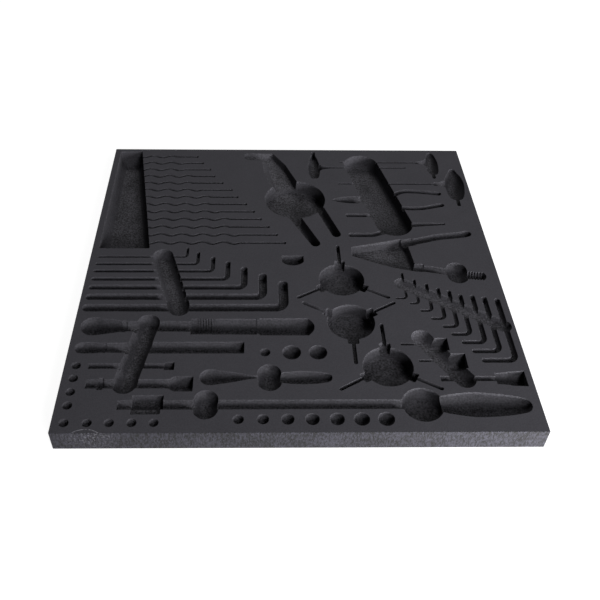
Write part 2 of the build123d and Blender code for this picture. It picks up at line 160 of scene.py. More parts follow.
mesh = bpy.data.meshes.new("floor")
half = floor_size / 2
corners = [(-half, -half, 0.0), (half, -half, 0.0), (half, half, 0.0), (-half, half, 0.0)]
mesh.from_pydata(corners, [], [(0, 1, 2, 3)])
floor = bpy.data.objects.new("floor", mesh)
floor.location.z = (bottom - floor_drop) * mm
bpy.context.scene.collection.objects.link(floor)

material, tree, output = new_material("pale_floor")
paint = add_node(tree, "ShaderNodeBsdfDiffuse", Color=srgb(floor_white))
glow = add_node(tree, "ShaderNodeEmission", Color=srgb(seen_white), Strength=glow_level)
lifted = add_node(
    tree, "ShaderNodeMixShader", Fac=glow_share, i1=paint.outputs[0], i2=glow.outputs[0]
)
path = add_node(tree, "ShaderNodeLightPath")
camera_ray, glossy_ray = path.outputs["Is Camera Ray"], path.outputs["Is Glossy Ray"]
seen = add_node(tree, "ShaderNodeMath", {"operation": "MAXIMUM"}, i0=camera_ray, i1=glossy_ray)
through = path.outputs["Is Transmission Ray"]
seen = add_node(tree, "ShaderNodeMath", {"operation": "MAXIMUM"}, i0=seen.outputs[0], i1=through)
surface = add_node(
    tree, "ShaderNodeMixShader", Fac=seen.outputs[0], i1=paint.outputs[0], i2=lifted.outputs[0]
)
tree.links.new(surface.outputs[0], output.inputs["Surface"])
mesh.materials.append(material)

world_level = 0.01
world = bpy.data.worlds.new("world")
world.use_nodes = True
bpy.context.scene.world = world
tree = world.node_tree
tree.nodes.clear()
plain = add_node(tree, "ShaderNodeBackground", Color=srgb("#ffffff"), Strength=world_level)
bright = add_node(tree, "ShaderNodeBackground", Color=srgb(seen_white), Strength=1.0)
path = add_node(tree, "ShaderNodeLightPath")
camera_ray = path.outputs["Is Camera Ray"]
mixed = add_node(tree, "ShaderNodeMixShader", Fac=camera_ray, i1=plain.outputs[0], i2=bright.outputs[0])
sky = tree.nodes.new("ShaderNodeOutputWorld")
tree.links.new(mixed.outputs[0], sky.inputs["Surface"])
print(f"Floor {floor_size:.0f} m across, world at {world_level}")

# %% [markdown]
# ## Lamps
#
# The beds show where the light came from: left-hand walls are bright, right-hand walls lie in shade,
# and the front edge grows brighter towards the right. One large soft lamp overhead would be easier,
# but it would fill every bed and take its depth away. So a low key lamp 4 m away at the front right
# rakes across the tray, and a higher one beside it reaches the floors of the beds. Two weak lamps,
# one high on that side and one behind, keep the shaded walls from going black. The last lamp is
# small, near and narrow, and lights only the right-hand end of the front edge.


# %% Lamps
def add_lamp(name, place, aim, size, level, spread=180.0):
    """An area lamp that gives this level of light at its aim, where 1 shows a colour as written.

    A lamp of P watts that faces a point d metres away lights it by P over pi squared d squared.
    Spread is the full angle of its beam in degrees: 180 shines all round, less works like a grid.
    """
    data = bpy.data.lights.new(name, "AREA")
    data.shape = "RECTANGLE"
    data.size, data.size_y = size
    data.spread = np.radians(spread)
    beam = Vector(aim) - Vector(place)
    data.energy = level * (np.pi * beam.length) ** 2
    lamp = bpy.data.objects.new(name, data)
    lamp.location = place
    lamp.rotation_euler = beam.to_track_quat("-Z", "Y").to_euler()
    bpy.context.scene.collection.objects.link(lamp)
    print(f"{name}: {data.energy:.0f} W from {beam.length:.2f} m")


tray_middle, right_end = (0.0, 0.0, 0.0), (0.28, -0.28, 0.01)
add_lamp("key_lamp", place=(2.68, -2.84, 0.90), aim=tray_middle, size=(0.7, 0.7), level=0.82)
add_lamp("front_lamp", place=(1.35, -3.35, 1.73), aim=tray_middle, size=(1.0, 1.0), level=0.43)
add_lamp("side_lamp", place=(1.82, -1.82, 2.52), aim=tray_middle, size=(1.0, 1.0), level=0.16)
add_lamp("back_lamp", place=(0.0, 1.41, 1.41), aim=tray_middle, size=(0.6, 0.6), level=0.162)
add_lamp("edge_lamp", place=(0.62, -0.95, 0.07), aim=right_end, size=(0.2, 0.1), level=0.30, spread=60.0)

# %% [markdown]
# ## How a cutter becomes a mesh
#
# A milling cutter takes away exactly the volume that it sweeps, so each bed is made as that volume:
# a closed skin, later subtracted from the sheet. Subtracting could also be avoided by lifting and
# lowering a fine grid like a relief map, but a grid turns upright foam walls into stairs. Almost
# every bed is an outline with a side profile, and the rest are turned shapes that lie on their
# side. Both come out as a stack of rings with equally many points, so one function skins them all.


# %% Skin a stack of rings
def closed_skin(name, rings, finish):
    """A closed mesh through rings of equally many points: four-sided faces between neighbours.

    The first and the last ring get a lid. The signed volume, a sum of corner triple products, is
    positive when faces point outwards, and otherwise all faces are turned over. All faces get the
    same finish, by number.
    """
    count, around = rings.shape[:2]
    corners = rings.reshape(-1, 3)
    ring, spot = np.meshgrid(np.arange(count - 1), np.arange(around), indexing="ij")
    here, after = ring * around + spot, ring * around + (spot + 1) % around
    quads = np.stack([here, after, after + around, here + around], -1).reshape(-1, 4)
    lids = np.stack([np.arange(around)[::-1], np.arange(around) + (count - 1) * around])
    fans = np.stack([np.broadcast_to(lids[:, :1], lids.shape), lids, np.roll(lids, -1, 1)], -1)
    triangles = np.concatenate([quads[:, [0, 1, 2]], quads[:, [0, 2, 3]], fans.reshape(-1, 3)])
    a, b, c = (corners[triangles[:, side]] for side in range(3))
    if (a * np.cross(b, c)).sum() < 0:
        quads, lids = quads[:, ::-1], lids[:, ::-1]
    mesh = bpy.data.meshes.new(name)
    mesh.from_pydata(corners * mm, [], [*quads.tolist(), *lids.tolist()])
    mesh.polygons.foreach_set("material_index", np.full(len(mesh.polygons), finish, np.int32))
    return mesh


# %% [markdown]
# ## Outlines and sides
#
# An outline is kept as two arrays: where each of its points is anchored, and the direction in which
# it moves when the outline grows. A groove is anchored on the middle line of its route, a round hole
# on its centre, and a pocket on its own walls. A side says how far out the outline stands at each
# height. Putting the two together gives the rings. A tool cutting foam leaves a softened rim, so
# every side ends in a small outward curve, and it carries on above the sheet so that the cut is
# clean.

# %% Rounded corners
arc_points = 9
most_of_run = 0.48


def round_corners(points, radius, closed):
    """Every corner becomes an arc of this radius, or a smaller one where a run is too short for it.

    An arc is the conic between its two tangent points with the corner as control point, weighted
    by the cosine of half the turn: ((1-u)^2 A + 2u(1-u)w V + u^2 B) / ((1-u)^2 + 2u(1-u)w + u^2).
    """
    points = np.asarray(points, float)
    if len(points) == 2 or not radius:
        return points
    at = points if closed else points[1:-1]
    before = np.roll(points, 1, 0) if closed else points[:-2]
    after = np.roll(points, -1, 0) if closed else points[2:]
    runs = np.stack([before - at, after - at])
    lengths = np.linalg.norm(runs, axis=2)
    units = runs / lengths[..., None]
    half_turn = np.arccos(np.clip(-(units[0] * units[1]).sum(1), -1, 1)) / 2
    setback = np.minimum(radius * np.tan(half_turn), most_of_run * lengths.min(0))
    tangent = at + units * setback[:, None]
    share = np.linspace(0, 1, arc_points)[None, :, None]
    weight = np.cos(half_turn)[:, None, None]
    parts = (1 - share) ** 2, 2 * share * (1 - share) * weight, share**2
    arcs = parts[0] * tangent[0][:, None] + parts[1] * at[:, None] + parts[2] * tangent[1][:, None]
    arcs = (arcs / sum(parts)).reshape(-1, 2)
    return arcs if closed else np.vstack([points[:1], arcs, points[-1:]])


print(f"An arc has {arc_points} points and takes at most {most_of_run:.0%} of a run")


# %% Outlines
def unit(vectors):
    """Vectors of length one in the same directions."""
    return vectors / np.linalg.norm(vectors, axis=-1, keepdims=True)


def mitred(across, across_after):
    """The direction between two neighbouring sides, longer at a corner so both move out alike."""
    middle = unit(across + across_after)
    return middle / (middle * across).sum(-1, keepdims=True)


def line_outline(route, sides):
    """A route with round ends: up one side, round the far end, back, and round the near end."""
    route = np.asarray(route, float)
    along = unit(np.diff(route, axis=0))
    across = np.stack([along[:, 1], -along[:, 0]], -1)
    middle = mitred(across[:-1], across[1:])
    one_side = np.vstack([across[:1], middle, across[-1:]])
    turn = np.linspace(0, np.pi, sides // 2 + 1)[1:-1, None]
    far_end = across[-1] * np.cos(turn) + along[-1] * np.sin(turn)
    near_end = -across[0] * np.cos(turn) - along[0] * np.sin(turn)
    anchors = [route, np.repeat(route[-1:], len(turn), 0), route[::-1]]
    anchors.append(np.repeat(route[:1], len(turn), 0))
    return np.vstack(anchors), np.vstack([one_side, far_end, -one_side[::-1], near_end])


def round_outline(place, sides):
    """A circle about a point."""
    turn = np.linspace(0, 2 * np.pi, sides, endpoint=False)
    return np.repeat(np.array([place], float), sides, 0), np.stack([np.cos(turn), np.sin(turn)], -1)


def wall_outline(points, corner=0.0):
    """A closed outline of any shape, anchored on itself and moving out square to its walls."""
    points = round_corners(points, corner, closed=True)
    along = unit(np.roll(points, -1, 0) - points)
    across = np.stack([along[:, 1], -along[:, 0]], -1)
    turned_left = (points[:, 0] * np.roll(points[:, 1], -1) - np.roll(points[:, 0], -1) * points[:, 1])
    across *= np.sign(turned_left.sum())
    return points, mitred(np.roll(across, 1, 0), across)


# %% Sides
rim_radius = 0.7
rim_share = 0.07
least_rim, narrow_cut = 0.05, 4.2
rim_steps = 4
rim_lift = 0.02
clear_height = 3.0
small_corner, small_corner_steps = 1.5, 3
corner_steps, corner_per_step = 5, 3
depth_play = 0.01
least_share = 0.03


def side_profile(depth, corner, draft=0.0, rim=rim_radius):
    """How far out a cut stands at each height, from its floor up to above the rim.

    A quarter circle rises from the floor, the wall stands upright or leans out by the draft angle,
    and the rim is a quarter circle the other way. The distance out is counted from the wall. A
    floor corner that takes the whole depth leaves no room for a rim.
    """
    steps = corner_steps + int(corner / corner_per_step)
    if corner < small_corner:
        steps = small_corner_steps
    bend = np.linspace(0, np.pi / 2, steps + 1)
    out, height = corner * (np.sin(bend) - 1), corner * (1 - np.cos(bend)) - depth
    if corner < depth - rim + depth_play:
        bend = np.linspace(0, np.pi / 2, rim_steps + 1)
        out = np.append(out, rim * (1 - np.cos(bend)))
        height = np.append(height, (rim + rim_lift) * np.sin(bend) - rim)
    out = out + np.minimum(height, 0) * np.tan(np.radians(draft))
    return np.append(out, out[-1]), np.append(height, max(height[-1], 0) + clear_height)


def rings_of(outline, profile, reach=0.0):
    """Rings: each anchor plus its direction times the distance out, at each height.

    Where the outline has a reach of its own, no ring shrinks below a small share of it, so that the
    floor of a ball stays a small ring instead of a point.
    """
    anchors, directions = outline
    out, height = profile
    distance = np.maximum(reach + out, least_share * reach) if reach else out
    flat = anchors + distance[:, None, None] * directions
    upright = np.broadcast_to(height[:, None, None] + top, (*flat.shape[:2], 1))
    return np.concatenate([flat, upright], -1)


print(f"Rims up to {rim_radius} mm, and cutters that stand {clear_height:.0f} mm proud of the sheet")

# %% [markdown]
# ## The five cuts
#
# Everything in the tray is one of five cuts: a groove along a route, a round hole, a pocket with an
# outline of its own, a ramp that runs in to a sloping floor, or the half-round bed of a turned tool.
# They could be modelled one by one with the knife and extrude tools, but a cut that is a function of
# its sizes can be read off like a drawing. The radius between floor and wall says which cutter made
# it: half the width is a ball, a small radius leaves a flat floor.

# %% Groove and hole
cuts = []
wide_cut = 20.0
groove_sides, wide_groove_sides = 24, 56
hole_sides, wide_hole_sides = 44, 88
flat_corner = 0.7


def groove(corner_place, route, width, depth, corner=flat_corner, bend=0.0):
    """A groove along straight runs, joined by arcs of radius bend. A narrow one has hardly any rim."""
    route = round_corners(np.asarray(route, float) + corner_place, bend, closed=False)
    outline = line_outline(route, wide_groove_sides if width > wide_cut else groove_sides)
    rim = least_rim if width < narrow_cut else min(rim_radius, rim_share * width)
    cuts.append(rings_of(outline, side_profile(depth, min(corner, width / 2), rim=rim), width / 2))


def hole(corner_place, place, radius, depth, corner):
    """A round hole or dish, with a rounded corner between its floor and its wall."""
    sides = wide_hole_sides if radius > wide_cut else hole_sides
    outline = round_outline(np.asarray(place) + corner_place, sides)
    rim = min(rim_radius, 2 * rim_share * radius)
    cuts.append(rings_of(outline, side_profile(depth, corner, rim=rim), radius))


print(f"Wide grooves have {wide_groove_sides} sides at their round ends, wide holes {wide_hole_sides}")

# %% Pocket and ramp
least_corner = 0.3
ramp_steps = 9


def pocket(corner_place, points, depth, corner=0.0, floor_corner=flat_corner, draft=0.0):
    """A pocket with an outline of its own, a flat floor and sides that may lean.

    The sharp outline is moved in or out first and its corners are rounded after that, each with
    the radius that is left there, so that a ring near the floor can't fold over itself.
    """
    anchors, directions = wall_outline(np.asarray(points, float) + corner_place)
    rings = []
    for out, height in zip(*side_profile(depth, floor_corner, draft)):
        ring = round_corners(anchors + out * directions, max(corner + out, least_corner), closed=True)
        rings.append(np.column_stack([ring, np.full(len(ring), height + top)]))
    cuts.append(np.stack(rings))


def ramp(corner_place, mouth, low, depths, corner):
    """A pocket that runs in from its mouth to a smaller floor, which slopes from back to front.

    Going in by a share t, the depth is (1 - cos pi t) / 2 of the full one, so that the side leaves
    the top face and meets the floor without an edge. The full depth grows evenly along y.
    """
    mouth, low = np.asarray(mouth, float) + corner_place, np.asarray(low, float) + corner_place
    ends = low[:, 1].max(), low[:, 1].min()
    rings = []
    for share in np.linspace(1, 0, ramp_steps):
        ring = round_corners(mouth + share * (low - mouth), corner, closed=True)
        full_depth = np.interp(-ring[:, 1], (-ends[0], -ends[1]), depths)
        rings.append(np.column_stack([ring, top - full_depth * (1 - np.cos(np.pi * share)) / 2]))
    above = rings[-1] + (0.0, 0.0, clear_height)
    cuts.append(np.stack([*rings, above]))


print(f"A ramp runs in over {ramp_steps} rings")

# %% [markdown]
# A turned tool is described by a few radii along its axis, as a lathe hand would note them. Joining
# them by straight lines would give cones, and an ordinary spline overshoots at every shoulder, so
# the squared radius runs through them on monotone cubics: it never swings past a given value, and
# because it is the square that is smooth, an end that closes to nothing comes out round like a ball.
# A distance that is given twice is a shoulder, and both sides of it are smoothed by themselves.


# %% A curve that never overshoots
def monotone(x, y, at):
    """Cubic curve through points that never overshoots.

    Each slope is the harmonic mean of the two beside it, and zero where they differ in sign.
    """
    step, rise = np.diff(x), np.diff(y)
    slope = rise / step
    product = slope[:-1] * slope[1:]
    total = np.where(product > 0, slope[:-1] + slope[1:], 1.0)
    inner = np.where(product > 0, 2 * product / total, 0.0)
    ends = np.concatenate([slope[:1], inner, slope[-1:]])
    place = np.clip(np.searchsorted(x, at, side="right") - 1, 0, len(step) - 1)
    share = (at - x[place]) / step[place]
    a, b = 2 * share**3 - 3 * share**2 + 1, share**3 - 2 * share**2 + share
    c, d = 3 * share**2 - 2 * share**3, share**3 - share**2
    width = step[place]
    return a * y[place] + b * width * ends[place] + c * y[place + 1] + d * width * ends[place + 1]


step_test = monotone(np.array([0.0, 1.0, 2.0]), np.array([0.0, 0.0, 1.0]), np.linspace(0, 2, 9))
print(f"Up a step from 0 to 1 the curve stays between {step_test.min():.2f} and {step_test.max():.2f}")

# %% Turned profiles
between_steps = 5
nose_share = 0.45
point_radius = 0.08


def nosed(part, end):
    """Closes a tapering end: the squared radius runs on to nothing, within a share of the radius."""
    near, far = (part[0], part[1]) if end == 0 else (part[-1], part[-2])
    if near[1] >= far[1]:
        return part
    fall = (far[1] ** 2 - near[1] ** 2) / abs(far[0] - near[0])
    setback = min(near[1] ** 2 / fall, nose_share * near[1]) * np.sign(near[0] - far[0])
    tip = np.array([[near[0] + setback, point_radius]])
    return np.vstack([tip, part] if end == 0 else [part, tip])


def smooth_steps(steps):
    """Distances and radii along the axis, close enough together to look turned.

    Towards a closed end the distances crowd together, as the share squared, to keep it round.
    """
    steps = np.array(steps, float)
    parts = np.split(steps, np.flatnonzero(np.diff(steps[:, 0]) == 0) + 1)
    if len(parts[0]) > 2:
        parts[0] = nosed(parts[0], 0)
    if len(parts[-1]) > 2:
        parts[-1] = nosed(parts[-1], 1)
    fine = []
    for part in parts:
        if len(part) == 2:
            fine.append(part)
            continue
        spots = np.linspace(0, len(part) - 1, (len(part) - 1) * between_steps + 1)
        whole = np.minimum(spots.astype(int), len(part) - 2)
        share = spots - whole
        share = np.where((whole == 0) & (part[0, 1] == point_radius), share**2, share)
        closing = (whole == len(part) - 2) & (part[-1, 1] == point_radius)
        share = np.where(closing, 1 - (1 - share) ** 2, share)
        at = part[whole, 0] + share * (part[whole + 1, 0] - part[whole, 0])
        fine.append(np.stack([at, np.sqrt(monotone(part[:, 0], part[:, 1] ** 2, at))], -1))
    return np.vstack(fine)


print(f"A turned profile gets {between_steps} rings for each step of its table")

# %% Turned beds
around_bed = 17
turned_rim_share = 0.35


def turned(corner_place, place, steps, sink=0.0, heading=0.0):
    """The bed of a turned tool whose axis lies sink below the top face.

    Each section is a half circle that hangs from the axis, (r sin a, -r cos a), with upright sides
    above the axis and the same soft rim as every other cut.
    """
    distance, radius = smooth_steps(steps).T[:, :, None]
    rim = np.minimum(rim_radius, turned_rim_share * radius)
    lip = np.arcsin(np.clip((rim - sink) / radius, 0, 1))
    angle = np.linspace(-1, 1, around_bed) * (np.pi / 2 - lip)
    first = 0 if sink > rim_radius else 1
    bend = np.linspace(0, np.pi / 2, rim_steps + 1)[first:]
    rim_out = radius * np.cos(lip) + rim * (1 - np.cos(bend))
    rim_height = (rim + rim_lift) * np.sin(bend) - rim
    clear = np.full_like(radius, clear_height)
    edge = rim_out[:, -1:]
    across = [-edge, -rim_out[:, ::-1], radius * np.sin(angle), rim_out, edge]
    height = [clear, rim_height[:, ::-1], -sink - radius * np.cos(angle), rim_height, clear]
    across, height = np.concatenate(across, 1), np.concatenate(height, 1)
    along = np.broadcast_to(distance, across.shape)
    turn = np.radians(heading)
    x = place[0] + corner_place[0] + along * np.cos(turn) - across * np.sin(turn)
    y = place[1] + corner_place[1] + along * np.sin(turn) + across * np.cos(turn)
    cuts.append(np.stack([x, y, height + top], -1))


print(f"{around_bed} points round each section of a turned bed")

# %% [markdown]
# ## Where the beds lie
#
# The beds are measured from the corner of the tray that is nearest to them, so x counts from the
# left or the right edge and y from the front or the back edge. The tables are the tray's own
# drawing: for each tool its place and its sizes, in millimetres.

# %% Corners
left_front, left_back = np.array([left, front]), np.array([left, back])
right_front, right_back = np.array([right, front]), np.array([right, back])
print("Corners at", *(corner.tolist() for corner in (left_front, left_back, right_front, right_back)))

# %% [markdown]
# ### Drills
#
# Thirteen drills lie in narrow slots that start in one deep trough, where the shanks are gripped
# from. The trough has a slanted right-hand side, because the slots get longer towards the front. The
# slots wave from side to side, so the foam clamps the shanks. Such a slot could be drawn point by
# point, but a sine along the route says the same in one line, and the longer the drill the more half
# waves it gets.

# %% Trough
trough_margin, trough_back_margin = 9.5, 7.5
trough_length, trough_back_width, trough_front_width = 244.5, 34.5, 71.5
trough_corner, trough_floor_corner, trough_overcut = 2.0, 14.0, 1.0
trough_near = -trough_back_margin - trough_length
trough = [
    (trough_margin, -trough_back_margin),
    (trough_margin + trough_back_width, -trough_back_margin),
    (trough_margin + trough_front_width, trough_near),
    (trough_margin, trough_near),
]
pocket(left_back, trough, top - seam + trough_overcut, trough_corner, trough_floor_corner)
print(f"Trough {trough_length} mm long, {trough_back_width} to {trough_front_width} mm wide")

# %% Drill slots
slot_width, slot_depth, slot_end_width = 4.0, 6.0, 5.0
slot_first_row, slot_pitch = -21.9, 18.16
slot_ends = (138.0, 148.0, 160.5, 168.0, 181.5, 196.5, 206.0, 219.5, 231.5, 242.0, 253.5, 265.5, 277.0)
wave_start, wave_length, wave_height, wave_spacing = 40.9, 30.6, 2.5, 1.9
wave_first_halves, wave_halves_per_slot = 4, 0.62

for number, slot_tip in enumerate(slot_ends):
    row = slot_first_row - slot_pitch * number
    slot_end = slot_tip - slot_end_width / 2
    halves = round(wave_first_halves + wave_halves_per_slot * number)
    wave_end = wave_start + halves * wave_length / 2
    x = np.linspace(wave_start, wave_end, int((wave_end - wave_start) / wave_spacing))
    y = row - wave_height * np.sin(2 * np.pi * (x - wave_start) / wave_length)
    route = np.vstack([np.stack([x, y], -1), [(slot_end, row)]])
    groove(left_back, route, slot_width, slot_depth)
    hole(left_back, (slot_end, row), slot_end_width / 2, slot_depth, flat_corner)
print(f"{len(slot_ends)} drill slots, {slot_ends[0]:.0f} to {slot_ends[-1]:.0f} mm from the left edge")

# %% [markdown]
# ### Hexagon keys
#
# Seven keys lie with their short arms pointing to the back, each row a little longer than the one
# behind it. A wide round-bottomed recess crosses them so that a finger can lift any of them. Nine
# smaller keys step down to the right in the same way. Each bed is worked out from the key that lies
# in it, so the whole set is four short rows of numbers and one loop.

# %% Finger recesses
finger_width, finger_depth = 29.5, 14.5


def finger_recess(corner_place, route, width=finger_width, depth=finger_depth):
    """A recess with ball ends, whose floor is as round as it is deep."""
    groove(corner_place, route, width, depth, corner=depth)


print(f"A finger recess is {finger_width} mm wide and {finger_depth} mm deep")

# %% Hexagon keys
key_sizes = (3.0, 4.0, 5.0, 6.0, 8.0, 10.0, 12.0)
key_long_arms = (127.0, 143.0, 165.0, 186.5, 210.5, 237.0, 265.5)
key_short_arms = (20.5, 26.5, 31.0, 38.0, 44.0, 50.0, 56.5)
key_rows = (299.5, 284.5, 270.0, 254.0, 237.5, 219.0, 198.5)
key_margin, key_end_centre, key_play, key_arm_play = 9.5, 12.0, 0.8, 1.5
key_least_bend, key_bend_share, key_extra_depth, key_floor_share = 3.0, 0.65, 4.0, 0.3
key_finger_route = ((101.8, 301.0), (132.3, 198.5))

finger_recess(left_front, key_finger_route)
for key, long_arm, short_arm, row in zip(key_sizes, key_long_arms, key_short_arms, key_rows):
    width = key + key_play
    column = key_margin + long_arm + key_arm_play - width / 2
    key_end = row + short_arm + key_arm_play - width
    route = ((key_end_centre, row), (column, row), (column, key_end))
    bend = key_least_bend + key_bend_share * key
    groove(left_front, route, width, width / 2 + key_extra_depth, key_floor_share * width, bend)
print(f"{len(key_sizes)} hexagon keys of {key_sizes[0]:.0f} to {key_sizes[-1]:.0f} mm")

# %% Small angled keys
small_key_columns = (-134.0, -119.0, -103.5, -89.0, -75.0, -61.0, -45.0, -29.5, -13.0)
small_key_tops = (265.3, 251.7, 243.0, 234.5, 229.3, 221.3, 219.5, 216.0, 212.5)
small_key_rows = (216.5, 207.0, 193.5, 179.0, 164.7, 151.2, 137.2, 122.3, 107.0)
small_key_feet = (13.5, 10.5, 13.5, 16.0, 17.0, 22.0, 27.0, 32.0, 39.5)
small_key_width, small_key_width_step, small_key_extra_depth = 3.6, 0.45, 3.5
small_key_bend_share = 1.3
small_key_finger_route = ((-137.0, 245.0), (-15.0, 165.5))
small_key_finger_width, small_key_finger_depth = 21.0, 8.0

finger_recess(right_front, small_key_finger_route, small_key_finger_width, small_key_finger_depth)
small_keys = zip(small_key_columns, small_key_tops, small_key_rows, small_key_feet)
for number, (column, key_end, row, foot) in enumerate(small_keys):
    width = small_key_width + small_key_width_step * number
    route = ((column - foot, row), (column, row), (column, key_end))
    depth = width / 2 + small_key_extra_depth
    groove(right_front, route, width, depth, key_floor_share * width, small_key_bend_share * width)
print(f"{len(small_key_columns)} small keys")

# %% [markdown]
# ### Sockets, bits and dishes
#
# A socket or a bit stands in a half ball, cut by pushing a ball-nosed cutter straight in. A sphere
# could be used for it, but a hole whose floor corner is its whole radius is that same half ball. The
# three pullers each have a deep round dish with three legs that lie like the hands of a clock.

# %% Round beds
bit_radius, bit_margin = 5.4, 14.4
bit_rows = (99.6, 79.6, 59.0, 39.0)
bit_columns = (14.9, 41.0, 66.2, 91.8, 116.9)
socket_first_column, socket_row, socket_pitch = 213.4, 18.8, 28.5
socket_radii = (6.1, 6.6, 7.3, 7.9, 8.3, 9.0, 9.4)
adapter_row = 120.5
adapter_columns = (245.0, 278.0, 311.0)
adapter_radii = (6.1, 11.3, 11.2)

round_beds = [(bit_margin, row, bit_radius) for row in bit_rows]
round_beds += [(column, bit_margin, bit_radius) for column in bit_columns]
for number, radius in enumerate(socket_radii):
    round_beds.append((socket_first_column + socket_pitch * number, socket_row, radius))
round_beds += [(x, adapter_row, radius) for x, radius in zip(adapter_columns, adapter_radii)]
for x, y, radius in round_beds:
    hole(left_front, (x, y), radius, radius + rim_radius, radius)
print(f"{len(round_beds)} round beds")

# %% Pullers
puller_places = ((-219.0, 253.0), (-213.0, 173.0), (-174.0, 97.5))
puller_first_legs = (90.0, 30.0, 90.0)
puller_legs = 3
puller_radius, puller_depth, puller_floor_corner = 30.9, 20.0, 2.5
puller_reach, puller_leg_width, puller_leg_depth = 69.6, 4.8, 8.0
root_width, root_reach, root_depth, root_corner = 14.0, 38.0, 14.0, 1.5

for place, first_leg in zip(puller_places, puller_first_legs):
    hole(right_front, place, puller_radius, puller_depth, puller_floor_corner)
    for leg in range(puller_legs):
        turn = np.radians(first_leg + leg * 360 / puller_legs)
        along = np.array([np.cos(turn), np.sin(turn)])
        across = np.array([-np.sin(turn), np.cos(turn)]) * root_width / 2
        centre, root = np.array(place), np.array(place) + along * root_reach
        corners = (centre - across, root - across, root + across, centre + across)
        pocket(right_front, corners, root_depth, root_corner)
        route = (centre, centre + along * puller_reach)
        groove(right_front, route, puller_leg_width, puller_leg_depth)
print(f"{len(puller_places)} pullers with {puller_legs} legs each")

# %% [markdown]
# ### Ratchets, extensions and the torque wrench
#
# Long turned tools lie side by side in half-round beds along the front. Their knurled handles,
# collars and shanks are the steps of the tables, each a distance along the axis and the radius
# there. A cylinder for each step would take as many pieces as steps, and leave hard edges between
# them. Finger recesses cross the beds.

# %% Long ratchet
handle_radius = 13.4
ring_first, ring_pitch, ring_count, ring_low, ring_high = 149.5, 3.4, 6, 12.2, 13.9

handle_rings = []
for number in range(ring_count):
    start = ring_first + ring_pitch * number
    half_way, end = start + ring_pitch / 2, start + ring_pitch
    handle_rings += [(start, ring_low), (half_way, ring_low), (half_way, ring_high), (end, ring_high)]
long_ratchet_steps = (
    (0.0, 5.0), (4.0, 10.8), (10.0, 14.6), (17.0, 15.6), (28.0, 14.0), (51.5, 9.0), (51.5, 10.0),
    (58.0, 10.0), (58.0, 8.6), (140.5, 8.6), (140.5, handle_radius), (ring_first, handle_radius),
    *handle_rings, (handle_rings[-1][0], handle_radius), (225.0, handle_radius), (225.0, 12.2),
    (228.5, 12.2), (228.5, 14.6), (291.0, 14.6), (294.5, 11.4),
)
print(f"The long ratchet has {len(long_ratchet_steps)} steps, with {ring_count} rings on its handle")

# %% Ratchets and extensions
middle_ratchet_steps = (
    (0.0, 5.0), (3.0, 7.8), (8.0, 9.0), (16.0, 9.0), (34.0, 7.4), (34.0, 8.6), (37.0, 8.6),
    (37.0, 7.4), (56.0, 8.1), (77.0, 8.1), (77.0, 9.3), (209.5, 9.3),
)
extension_steps = ((0.0, 3.8), (92.0, 3.8), (92.0, 6.0), (104.5, 6.0))
bit_holder_steps = (
    (0.0, 6.6), (14.0, 6.6), (14.0, 8.6), (21.0, 8.6), (21.0, 6.6), (97.0, 6.6), (107.5, 11.2),
    (128.0, 11.2),
)
long_tools = (
    ((9.5, 165.5), long_ratchet_steps, 0.0, -0.3),
    ((9.5, 128.5), middle_ratchet_steps, 0.0, 0.0),
    ((29.5, 98.7), extension_steps, 2.0, 0.0),
    ((30.5, 71.0), bit_holder_steps, 0.0, 0.0),
)
long_finger_route = ((95.0, 171.0), (76.5, 70.5))
for place, steps, sink, heading in long_tools:
    turned(left_front, place, steps, sink, heading)
finger_recess(left_front, long_finger_route)
print(f"{len(long_tools)} long tools along the front")

# %% Short ratchet
short_shaft_place, short_handle_place = (166.5, 81.0), (262.0, 80.0)
short_shaft_steps = (
    (0.0, 4.8), (3.0, 8.6), (8.0, 11.4), (13.0, 11.8), (22.0, 10.4), (66.5, 1.8), (84.0, 1.8),
)
short_handle_steps = (
    (0.0, 6.5), (14.0, 9.0), (28.0, 9.8), (44.0, 9.0), (58.0, 6.8), (62.5, 4.2), (64.0, 1.5),
)
short_finger_route = ((249.8, 86.5), (250.3, 74.4))
turned(left_front, short_shaft_place, short_shaft_steps)
turned(left_front, short_handle_place, short_handle_steps)
finger_recess(left_front, short_finger_route)
print(f"The short ratchet's handle starts {short_handle_place[0]:.0f} mm from the left edge")

# %% Torque wrench
torque_shaft_place, torque_shaft_steps = (72.0, 39.8), ((0.0, 6.5), (340.0, 6.5))
torque_handle_place, torque_handle_heading = (448.0, 40.0), -1.3
torque_handle_steps = (
    (0.0, 9.5), (18.0, 14.5), (46.0, 17.8), (76.0, 15.4), (100.0, 11.0), (107.0, 8.0), (110.5, 3.0),
)
torque_corner = 1.0
torque_head = ((88.5, 35.7), (125.0, 35.7), (125.0, 53.5), (88.5, 53.5))
torque_shelf = ((88.5, 26.5), (122.5, 26.5), (122.5, 37.0), (88.5, 37.0))
torque_head_depth, torque_shelf_depth = 12.0, 4.0
torque_dish_place, torque_dish_radius = (430.0, 39.4), 24.3
torque_dish_depth, torque_dish_corner = 18.0, 7.0
torque_finger_route = ((175.0, 46.5), (175.0, 33.5))

turned(left_front, torque_shaft_place, torque_shaft_steps)
turned(left_front, torque_handle_place, torque_handle_steps, heading=torque_handle_heading)
pocket(left_front, torque_head, torque_head_depth, torque_corner)
pocket(left_front, torque_shelf, torque_shelf_depth, torque_corner)
hole(left_front, torque_dish_place, torque_dish_radius, torque_dish_depth, torque_dish_corner)
finger_recess(left_front, torque_finger_route)
print(f"The torque wrench's dish is {2 * torque_dish_radius:.0f} mm across")

# %% [markdown]
# ### Half-moon pocket
#
# One small pocket has a straight far side and a curved near side. The near side could be traced, but
# it is a circle through three points: for a chord 2a wide and h high the radius is (a squared + h
# squared) over 2h.

